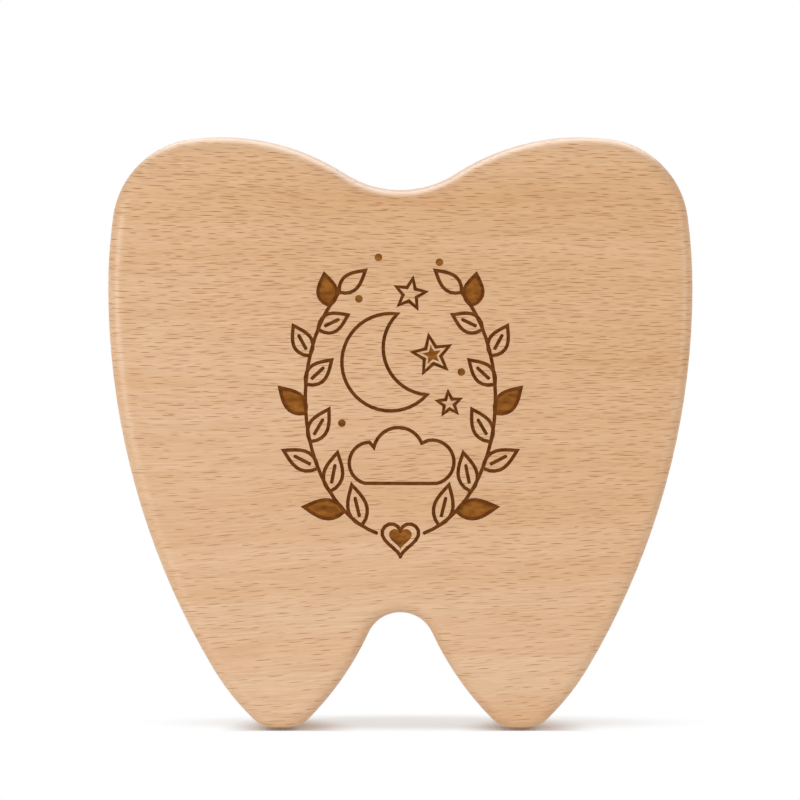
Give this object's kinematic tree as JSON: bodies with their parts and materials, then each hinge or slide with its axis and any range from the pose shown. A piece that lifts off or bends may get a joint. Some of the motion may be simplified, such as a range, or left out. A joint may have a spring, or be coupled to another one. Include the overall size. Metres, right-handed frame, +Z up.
{
  "type": "baby tooth box",
  "caption": "Tooth-shaped wooden keepsake box that stands on its roots; a thick lid swivels on a hidden screw pivot over a tray of tooth wells and corked glass vials.",
  "frame": {"origin": "on the floor, midway between the two root tips and midway through the thickness", "axes": "+Z up from the roots to the crown, the lid faces -Y, +X to the viewer's right"},
  "size_m": [0.12, 0.0296, 0.122],
  "materials": {
    "beech": "satin oil",
    "brass": "machined",
    "steel": "zinc plated",
    "nylon": "matte",
    "nickel": "nickel plated",
    "glass": "clear",
    "cork": "natural"
  },
  "bodies": {
    "base": {"base_tray": "beech", "back_plug": "beech", "head_washer": "steel", "pivot_bush": "brass", "thrust_washer": "nylon", "base_magnets": "nickel", "upper_vial": "glass", "upper_stopper": "cork", "lower_vial": "glass", "lower_stopper": "cork"},
    "lid": {"lid_panel": "beech", "lid_magnets": "nickel", "threaded_insert": "brass", "pivot_screw": "steel"}
  },
  "joints": [
    {"name": "lid_swivel", "type": "hinge", "parent": "base", "child": "lid", "pos_m": [-0.0445, 0, 0.107], "axis": [0, -1, 0], "continuous": true}
  ]
}
